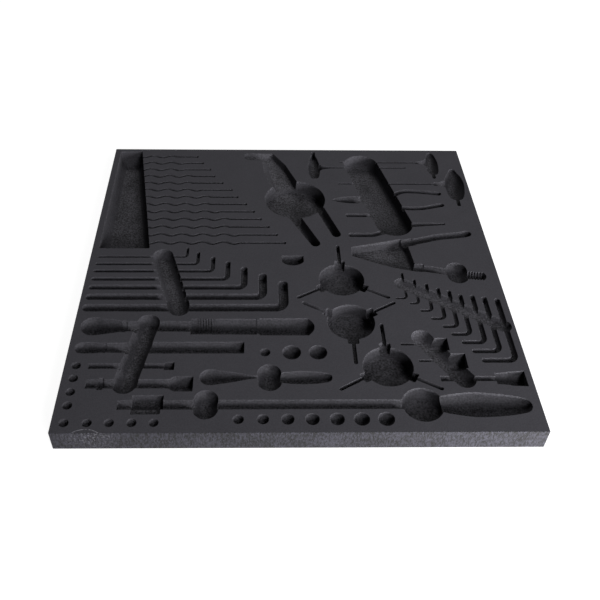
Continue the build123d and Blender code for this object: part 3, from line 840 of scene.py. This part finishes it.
# %% Half-moon pocket
moon_left, moon_right, moon_back, moon_side, moon_front = 270.0, 300.5, 302.0, 290.0, 282.0
moon_depth, moon_floor_corner, moon_arc_points = 12.0, 3.0, 17
moon_half, moon_rise = (moon_right - moon_left) / 2, moon_side - moon_front
moon_radius = (moon_half**2 + moon_rise**2) / (2 * moon_rise)
moon_turn = np.arcsin(moon_half / moon_radius)
turn = np.linspace(-moon_turn, moon_turn, moon_arc_points)
moon_x = moon_left + moon_half + moon_radius * np.sin(turn)
moon_y = moon_front + moon_radius * (1 - np.cos(turn))
moon = np.array([(moon_right, moon_back), (moon_left, moon_back), *zip(moon_x, moon_y)])
cuts.append(rings_of(wall_outline(moon + left_front), side_profile(moon_depth, moon_floor_corner)))
print(f"The near side of the half moon is an arc of {moon_radius:.1f} mm")

# %% [markdown]
# ### Bit tools and drivers
#
# Bit tools lie in the front corner. The drivers at the back have a grip like a bulb lying across the
# shank, with a short prong at its end and a flare where the shank comes out. They are turned beds
# once more. Their axes lie a little below the top face, because these thin tools are let in deeper,
# and the sides stand upright above the axis.

# %% Bit tools
bit_tool_places = ((-153.5, 134.0), (-134.5, 106.5), (-112.5, 78.0))
bit_tool_steps = (
    ((0.0, 1.7), (40.0, 1.7), (40.0, 10.0), (60.5, 10.0)),
    ((0.0, 1.6), (39.5, 1.6), (39.5, 11.6), (59.5, 11.6)),
    ((0.0, 3.6), (67.5, 3.4), (67.5, 8.0), (83.5, 9.4), (83.5, 10.4), (104.5, 11.5)),
)
bit_tool_sink = 2.5
bit_tool_finger_route = ((-125.5, 145.0), (-82.5, 77.0))
bit_tool_finger_width, bit_tool_finger_depth = 26.5, 13.0

for place, steps in zip(bit_tool_places, bit_tool_steps):
    turned(right_front, place, steps, bit_tool_sink)
finger_recess(right_front, bit_tool_finger_route, bit_tool_finger_width, bit_tool_finger_depth)
print(f"{len(bit_tool_places)} bit tools")

# %% Drivers
grip_places = ((-243.0, -79.0), (-49.5, -67.0), (-24.0, -133.0))
grip_headings = (90.0, 88.0, 86.0)
grip_steps = (
    ((0.0, 5.6), (15.0, 8.6), (30.0, 9.4), (45.0, 7.4), (62.0, 2.8)),
    ((0.0, 6.2), (16.0, 9.4), (30.0, 9.8), (46.0, 7.6), (58.5, 3.4)),
    ((0.0, 8.5), (20.0, 13.8), (38.0, 15.2), (56.0, 12.4), (70.0, 6.6), (78.0, 2.8)),
)
flare_places = ((-238.0, -51.0), (-50.0, -36.0), (-34.0, -95.0))
flare_headings = (0.0, 180.0, 180.0)
flare_steps = (
    ((0.0, 8.8), (4.0, 8.8), (7.3, 5.8), (11.6, 3.9), (20.0, 1.8), (22.0, 1.6)),
    ((0.0, 9.4), (7.9, 9.4), (12.0, 5.4), (17.0, 3.6), (22.0, 2.9), (25.0, 2.9)),
    ((0.0, 9.5), (2.4, 9.0), (6.7, 6.5), (12.0, 4.4), (20.0, 3.9)),
)
driver_sink = 2.0
places, headings = grip_places + flare_places, grip_headings + flare_headings
for place, heading, steps in zip(places, headings, grip_steps + flare_steps):
    turned(right_back, place, steps, driver_sink, heading)
print(f"{len(grip_places)} drivers, each with a grip and a flare")

# %% Prongs and shanks of the drivers
driver_prongs = (
    ((-242.0, -40.0), (-242.0, -9.0)),
    ((-50.5, -60.0), (-50.5, -77.5)),
    ((-24.0, -125.0), (-24.0, -149.0)),
)
driver_shanks = (
    ((-220.0, -51.0), (-94.5, -51.0)),
    ((-72.0, -36.0), (-198.0, -36.0)),
    ((-52.0, -95.0), (-205.5, -95.0)),
)
prong_width, prong_depth = 5.4, 11.0
shank_width, shank_depth = 3.8, 6.0
for prong, shank in zip(driver_prongs, driver_shanks):
    groove(right_back, prong, prong_width, prong_depth)
    groove(right_back, shank, shank_width, shank_depth)
print("Driver shanks", [abs(shank[1][0] - shank[0][0]) for shank in driver_shanks], "mm long")

# %% [markdown]
# ### Pliers and snips
#
# The gripping pliers have a deep dish under their pivot, a slanted bed for the jaws and two handle
# grooves. Two slim pliers cross the widest finger recess. The snips have leaning sides, two collars
# and a coiled spring, whose turns leave rings in the foam. Only the jaws need the ramp, which joins
# two outlines: their bed gets deeper towards the pivot. The left handle's groove widens towards the
# pivot too, which two passes of the same cutter give, fanned out a little.

# %% Gripping pliers
jaw_mouth = (
    (232.0, -11.5), (261.0, -11.5), (280.5, -44.0), (299.0, -93.0), (297.5, -118.0),
    (270.0, -120.0), (255.0, -100.0), (246.0, -66.5), (243.0, -33.0),
)
jaw_floor = (
    (249.0, -17.0), (259.5, -14.0), (279.0, -45.0), (297.5, -94.0), (296.0, -118.0),
    (284.0, -119.0), (269.0, -98.0), (260.0, -64.0), (254.0, -33.0),
)
jaw_depths, jaw_corner = (9.0, 19.0), 5.0
pivot_place, pivot_radius, pivot_depth, pivot_floor_corner = (293.3, -136.0), 46.2, 22.0, 2.5
beak_route, beak_width, beak_depth = ((222.0, -20.2), (246.0, -22.0)), 18.5, 5.5
plier_handles = (
    ((282.5, -165.0), (319.0, -240.5)),
    ((287.0, -165.0), (319.5, -240.5)),
    ((331.0, -160.0), (351.0, -219.5)),
)
plier_handle_width, plier_handle_depth, plier_handle_corner = 13.0, 17.0, 5.0

hole(left_back, pivot_place, pivot_radius, pivot_depth, pivot_floor_corner)
ramp(left_back, jaw_mouth, jaw_floor, jaw_depths, jaw_corner)
groove(left_back, beak_route, beak_width, beak_depth, corner=beak_depth)
for route in plier_handles:
    groove(left_back, route, plier_handle_width, plier_handle_depth, plier_handle_corner)
print(f"The dish under the pivot is {2 * pivot_radius:.0f} mm across and {pivot_depth:.0f} mm deep")

# %% Slim pliers
slim_noses = ((-218.0, -137.0), (-115.0, -197.8))
slim_nose_headings = (0.0, 2.0)
slim_nose_steps = (((0.0, 1.4), (33.0, 8.4), (60.0, 8.4)), ((0.0, 5.2), (60.5, 1.8)))
slim_sink = 2.0
slim_handles = (
    ((-128.0, -127.5), (-107.0, -114.5), (-84.0, -115.5), (-51.5, -120.5)),
    ((-121.0, -155.0), (-101.0, -158.5), (-81.0, -157.5), (-51.5, -149.5)),
    ((-198.0, -175.5), (-150.0, -175.5)),
    ((-197.0, -221.5), (-165.0, -221.5), (-145.0, -213.5)),
)
slim_handle_bends = (28.0, 28.0, 0.0, 18.0)
slim_handle_widths = (8.6, 8.2, 7.2, 8.6)
slim_handle_depth, slim_floor_share = 8.0, 0.42
wide_recess = ((-165.5, -44.5), (-131.0, -195.5))
wide_recess_width, wide_recess_depth, wide_recess_corner = 55.0, 23.0, 6.0

for nose, heading, steps in zip(slim_noses, slim_nose_headings, slim_nose_steps):
    turned(right_back, nose, steps, slim_sink, heading)
for route, bend, width in zip(slim_handles, slim_handle_bends, slim_handle_widths):
    groove(right_back, route, width, slim_handle_depth, slim_floor_share * width, bend)
groove(right_back, wide_recess, wide_recess_width, wide_recess_depth, wide_recess_corner)
print(f"The widest recess is {wide_recess_width:.0f} mm wide")

# %% Snips
snips = (
    (-199.5, -249.0), (-199.5, -267.5), (-167.0, -283.0), (-141.5, -293.0), (-116.0, -299.5),
    (-113.0, -286.0), (-117.5, -247.0), (-126.5, -231.0), (-158.5, -239.0),
)
snips_depth, snips_corner, snips_floor_corner, snips_draft = 12.0, 1.5, 2.0, 10.0
collars = (((-130.0, -242.5), 24.0, 15.0), ((-117.0, -292.0), 16.0, -6.0))
collar_radius = 7.6
snips_handles = (
    (((-110.0, -237.5), (-71.0, -226.0), (-33.0, -220.5), (-26.0, -218.0)), 12.0),
    (((-106.0, -293.5), (-85.0, -297.5), (-56.0, -305.0)), 30.0),
)
snips_handle_width, snips_handle_depth, snips_handle_corner = 12.4, 8.0, 5.5
snips_finger_route = ((-56.5, -297.0), (-56.5, -309.5))

pocket(right_back, snips, snips_depth, snips_corner, snips_floor_corner, snips_draft)
for place, length, heading in collars:
    turned(right_back, place, ((0.0, collar_radius), (length, collar_radius)), heading=heading)
for route, bend in snips_handles:
    groove(right_back, route, snips_handle_width, snips_handle_depth, snips_handle_corner, bend)
finger_recess(right_back, snips_finger_route)
print(f"The sides of the snips' bed lean out by {snips_draft:.0f} degrees")

# %% Spring of the snips
spring_place, spring_heading = (-46.0, -307.5), -6.0
spring_turns, spring_pitch, spring_radius, spring_root = 7, 3.8, 8.2, 6.2
half_turns = np.arange(2 * spring_turns + 1)
spring_radii = np.where(half_turns % 2, spring_radius, spring_root)
spring_steps = np.stack([half_turns / 2 * spring_pitch, spring_radii], -1)
turned(right_back, spring_place, spring_steps, heading=spring_heading)
print(f"{spring_turns} turns of the spring, and {len(cuts)} cuts in all")

# %% [markdown]
# ## The sheet, and the milling itself
#
# The sheet is a stack of rings too: a square outline with slightly worn corners, whose top edge is
# rounded over. The thin sheet underneath is made the same way. Then all cuts are subtracted at once.
# A boolean is often avoided because it leaves messy faces, but here it is what really happened to
# the foam, and Blender's manifold solver keeps every closed skin closed. Each face remembers which
# finish it belongs to: skin on top, milled in the beds, sawn round the edges.

# %% Sheets
skin_finish, milled_finish, sawn_finish = 0, 1, 2
sheet_corner = 1.2
edge_radius, edge_points = 0.6, 4


def foam_sheet(name, low, high, rounded, top_finish):
    """A sheet with rounded upright corners, its top or bottom edge turned over in a quarter circle.

    The edges are sawn, and the last face, which is the top one, has a finish of its own.
    """
    square = np.array([(left, front), (right, front), (right, back), (left, back)])
    bend = np.linspace(0, np.pi / 2, edge_points)
    curve_in, curve_up = edge_radius * (np.cos(bend) - 1), edge_radius * (1 - np.sin(bend))
    lower = (curve_in[::-1], low + curve_up[::-1]) if rounded == "bottom" else ([0.0], [low])
    upper = (curve_in, high - curve_up) if rounded == "top" else ([0.0], [high])
    out = np.concatenate([lower[0], upper[0]])
    height = np.concatenate([lower[1], upper[1]])
    rings = rings_of(wall_outline(square, sheet_corner), (out, height - top))
    mesh = closed_skin(name, rings, sawn_finish)
    mesh.polygons[-1].material_index = top_finish
    piece = bpy.data.objects.new(name, mesh)
    bpy.context.scene.collection.objects.link(piece)
    return piece


tray = foam_sheet("milled_sheet", seam, top, rounded="top", top_finish=skin_finish)
base = foam_sheet("backing_sheet", bottom, seam, rounded="bottom", top_finish=milled_finish)
print(f"Two sheets, {top - seam:.0f} and {seam - bottom:.0f} mm thick")

# %% Subtract every cut
cutters = bpy.data.collections.new("cutters")
bpy.context.scene.collection.children.link(cutters)
for number, rings in enumerate(cuts):
    cutter = bpy.data.objects.new(f"cut_{number}", closed_skin("cut", rings, milled_finish))
    cutters.objects.link(cutter)

milling = tray.modifiers.new("milling", "BOOLEAN")
milling.operation = "DIFFERENCE"
milling.operand_type = "COLLECTION"
milling.collection = cutters
milling.solver = "MANIFOLD"
milling.material_mode = "INDEX"
depsgraph = bpy.context.evaluated_depsgraph_get()
milled = bpy.data.meshes.new_from_object(tray.evaluated_get(depsgraph), depsgraph=depsgraph)
tray.modifiers.clear()
tray.data = milled
milled.name = "milled_sheet"

# Clearing the solver's empty slots resets the finish of every face, so it is read before and put back.
finish = np.zeros(len(milled.polygons), np.int32)
milled.polygons.foreach_get("material_index", finish)
milled.materials.clear()
milled.polygons.foreach_set("material_index", finish)
for cutter in list(cutters.objects):
    bpy.data.objects.remove(cutter)
bpy.data.collections.remove(cutters)
milled.calc_loop_triangles()
print(f"Milled sheet: {len(milled.polygons)} faces, {len(milled.loop_triangles)} triangles")
print("Faces by finish", np.bincount(finish).tolist())

# %% [markdown]
# ## Foam
#
# Closed-cell polyethylene foam shows three finishes. Its skin is smooth and matt with faint clouds.
# A milling cutter opens the cells, so the beds show pale cell walls round pits, which are painted
# darker as shade. Floors keep the grain's full contrast, while faces that don't look straight up get
# a smoother grain and darker tones, told apart by the height of the normal: that darkening is painted
# shade on the walls. The saw that trimmed the edges drew the grain out into upright streaks.
# Polyethylene has an index of refraction of about 1.5, which is the shader's own value, and open
# cells make it rough.
#
# A picture would tie the grain to one resolution, so it is noise in object space instead: its size
# is stated in millimetres and is the same on every face. Real cells are about half a millimetre
# wide, too fine for this view, so they are drawn about 2 mm wide. The bump uses the same noise as
# the colour, so each pit of the bump is also painted darker: painted shade in the pits, mixed with
# the grain's own tone.

# %% Foam materials
foam_roughness = 0.85
cloud_size, cloud_detail = 38.0, 3.0
grain_share, tone_spread = 0.75, 0.13
flat_from, flat_to, wall_bump = 0.85, 0.98, 0.35


def foam_material(name, dark, pale, grain, relief, stretch=(1.0, 1.0, 1.0), walls=None):
    """Matt foam between two tones; one grain drives colour and bump, so pits get painted shade.

    The tone is (1 - s) cloud + s grain with s the grain's share, spread about the middle value.
    A noise's scale is one over the size of its grain in metres, and stretch below one along an axis
    draws the grain out that way. Walls is a second, darker pair of tones for faces that don't look
    straight up: painted shade on the walls.
    """
    material, tree, output = new_material(name)
    place = add_node(tree, "ShaderNodeTexCoord").outputs["Object"]
    drawn = add_node(tree, "ShaderNodeMapping", Vector=place, Scale=stretch)
    size = 1 / (cloud_size * mm)
    clouds = add_node(tree, "ShaderNodeTexNoise", Vector=place, Scale=size, Detail=cloud_detail)
    grains = add_node(tree, "ShaderNodeTexNoise", Vector=drawn.outputs[0], Scale=1 / (grain * mm))
    # Low values of this noise are the pits of the bump and also the darker tone: painted shade in the
    # pits.
    pits = grains.outputs["Fac"]
    both = add_node(tree, "ShaderNodeMix", Factor=grain_share, A=clouds.outputs["Fac"], B=pits)
    low, high = 0.5 - tone_spread, 0.5 + tone_spread
    tone = add_node(tree, "ShaderNodeMapRange", Value=both.outputs[0], From_Min=low, From_Max=high)
    tones = {"i0": tone.outputs[0], "i6": srgb(dark), "i7": srgb(pale)}
    colour = add_node(tree, "ShaderNodeMix", {"data_type": "RGBA"}, **tones).outputs[2]
    bump = add_node(tree, "ShaderNodeBump", Height=pits, Distance=relief * mm)
    # Faces that don't look straight up take the darker wall tones and a weaker bump: painted shade on
    # the walls.
    if walls:
        tones = {"i0": tone.outputs[0], "i6": srgb(walls[0]), "i7": srgb(walls[1])}
        wall_shade_colour = add_node(tree, "ShaderNodeMix", {"data_type": "RGBA"}, **tones).outputs[2]
        normal = add_node(tree, "ShaderNodeNewGeometry").outputs["Normal"]
        up = add_node(tree, "ShaderNodeSeparateXYZ", i0=normal).outputs[2]
        flat = add_node(tree, "ShaderNodeMapRange", Value=up, From_Min=flat_from, From_Max=flat_to)
        tones = {"i0": flat.outputs[0], "i6": wall_shade_colour, "i7": colour}
        colour = add_node(tree, "ShaderNodeMix", {"data_type": "RGBA"}, **tones).outputs[2]
        strength = add_node(tree, "ShaderNodeMapRange", Value=flat.outputs[0], To_Min=wall_bump)
        tree.links.new(strength.outputs[0], bump.inputs["Strength"])
    looks = {"Base Color": colour, "Normal": bump.outputs[0]}
    shader = add_node(tree, "ShaderNodeBsdfPrincipled", Roughness=foam_roughness, **looks)
    tree.links.new(shader.outputs[0], output.inputs["Surface"])
    return material


# The milled walls' second pair of tones is darker than the floor's: painted shade on the walls.
grain_and_wall_shade = {"grain": 2.2, "relief": 0.4, "walls": ("#232227", "#39383e")}
finishes = (
    foam_material("foam_skin", "#38373d", "#403f45", grain=1.6, relief=0.08),
    foam_material("milled_foam", "#19181c", "#545359", **grain_and_wall_shade),
    foam_material("sawn_foam", "#070608", "#32313a", grain=1.8, relief=0.3, stretch=(1.0, 1.0, 0.4)),
)
for piece in (tray, base):
    for material in finishes:
        piece.data.materials.append(material)
print("Finishes:", ", ".join(material.name for material in finishes))

# %% [markdown]
# The tray in the photograph has been handled. A thin pale scratch runs along an arc near its left
# front corner, and the edge below is scuffed. Wear like this could be painted into a picture, but
# both marks are simple enough to be masks in millimetres: the arc is every place at one distance
# from a point just outside the tray, and the scuffs are the peaks of a noise that dies away round
# one spot.

# %% Scratch and scuffs
scratch_centre, scratch_radius, scratch_width = (41.0, -20.0), 25.4, 0.7
gap_size, gap_from, gap_to = 3.0, 0.35, 0.5
scuff_place, scuff_reach, scuff_size, scuff_detail = (46.0, 0.0), 40.0, 3.0, 4.0
scuff_share, peak_from, peak_to = 0.4, 0.5, 0.62
mark_tone = "#8b8a92"


def mark(material, centre, make_mask):
    """Mixes a pale tone into a material where a mask of the distance from a centre is one."""
    tree = material.node_tree
    shader = tree.nodes["Principled BSDF"]
    colour = shader.inputs["Base Color"].links[0].from_socket
    place = add_node(tree, "ShaderNodeTexCoord").outputs["Object"]
    middle = np.array([*(left_front + centre), top]) * mm
    settings = {"operation": "DISTANCE"}
    distance = add_node(tree, "ShaderNodeVectorMath", settings, i0=place, i1=middle).outputs["Value"]
    tones = {"i0": make_mask(tree, place, distance), "i6": colour, "i7": srgb(mark_tone)}
    mixed = add_node(tree, "ShaderNodeMix", {"data_type": "RGBA"}, **tones)
    tree.links.new(mixed.outputs[2], shader.inputs["Base Color"])


def arc_mask(tree, place, distance):
    """One at the scratch's radius, nothing from a width away on either side, broken up by noise."""
    radius = scratch_radius * mm
    off = add_node(tree, "ShaderNodeMath", {"operation": "SUBTRACT"}, i0=distance, i1=radius)
    off = add_node(tree, "ShaderNodeMath", {"operation": "ABSOLUTE"}, i0=off.outputs[0]).outputs[0]
    line = {"From_Min": 0.0, "From_Max": scratch_width * mm, "To_Min": 1.0, "To_Max": 0.0}
    line = add_node(tree, "ShaderNodeMapRange", Value=off, **line).outputs[0]
    gaps = add_node(tree, "ShaderNodeTexNoise", Vector=place, Scale=1 / (gap_size * mm)).outputs["Fac"]
    limits = {"From_Min": gap_from, "From_Max": gap_to}
    gaps = add_node(tree, "ShaderNodeMapRange", Value=gaps, **limits).outputs[0]
    return add_node(tree, "ShaderNodeMath", {"operation": "MULTIPLY"}, i0=line, i1=gaps).outputs[0]


def scuff_mask(tree, place, distance):
    """The peaks of a noise, fading out towards the reach."""
    near = {"From_Min": 0.0, "From_Max": scuff_reach * mm, "To_Min": scuff_share, "To_Max": 0.0}
    near = add_node(tree, "ShaderNodeMapRange", Value=distance, **near).outputs[0]
    noise = {"Vector": place, "Scale": 1 / (scuff_size * mm), "Detail": scuff_detail}
    peaks = add_node(tree, "ShaderNodeTexNoise", **noise).outputs["Fac"]
    limits = {"From_Min": peak_from, "From_Max": peak_to}
    peaks = add_node(tree, "ShaderNodeMapRange", Value=peaks, **limits).outputs[0]
    return add_node(tree, "ShaderNodeMath", {"operation": "MULTIPLY"}, i0=near, i1=peaks).outputs[0]


mark(finishes[skin_finish], scratch_centre, arc_mask)
mark(finishes[sawn_finish], scuff_place, scuff_mask)
print(f"Scratch {scratch_radius} mm round, scuffs within {scuff_reach:.0f} mm")

# %% [markdown]
# ## Creases
#
# A bed has true creases where a wall meets the floor and soft turns everywhere else. One angle tells
# them apart: neighbouring faces on a curve turn by less than it, faces at a crease by more. That
# alone would still smear the shading of a soft rim over the flat skin beside it, in long streaks, so
# every edge between two finishes is a crease as well. Such an edge has a different least and most
# finish among the faces that share it.

# %% Creases
crease_angle = 32.0
milled.set_sharp_from_angle(angle=np.radians(crease_angle))
edge_of_corner = np.zeros(len(milled.loops), np.int32)
milled.loops.foreach_get("edge_index", edge_of_corner)
corners_of_face = np.zeros(len(milled.polygons), np.int32)
milled.polygons.foreach_get("loop_total", corners_of_face)
finish_of_corner = np.repeat(finish, corners_of_face)

# The least finish round an edge starts at the highest number, and the most at the lowest.
least, most = np.full(len(milled.edges), sawn_finish), np.full(len(milled.edges), skin_finish)
np.minimum.at(least, edge_of_corner, finish_of_corner)
np.maximum.at(most, edge_of_corner, finish_of_corner)
sharp = np.zeros(len(milled.edges), bool)
milled.attributes["sharp_edge"].data.foreach_get("value", sharp)
sharp |= least != most
milled.attributes["sharp_edge"].data.foreach_set("value", sharp)
print(f"{sharp.sum()} creased edges out of {len(sharp)}")

# %% [markdown]
#
# Nothing on the tray moves, so both sheets ride on its one body. Each takes the place of the plain
# solid that it dresses, which is hidden. Nothing may be larger than those solids.

# %% Hand-over
for piece in (tray, base):
    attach(piece, "root")
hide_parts("pocket_layer")
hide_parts("base_layer")
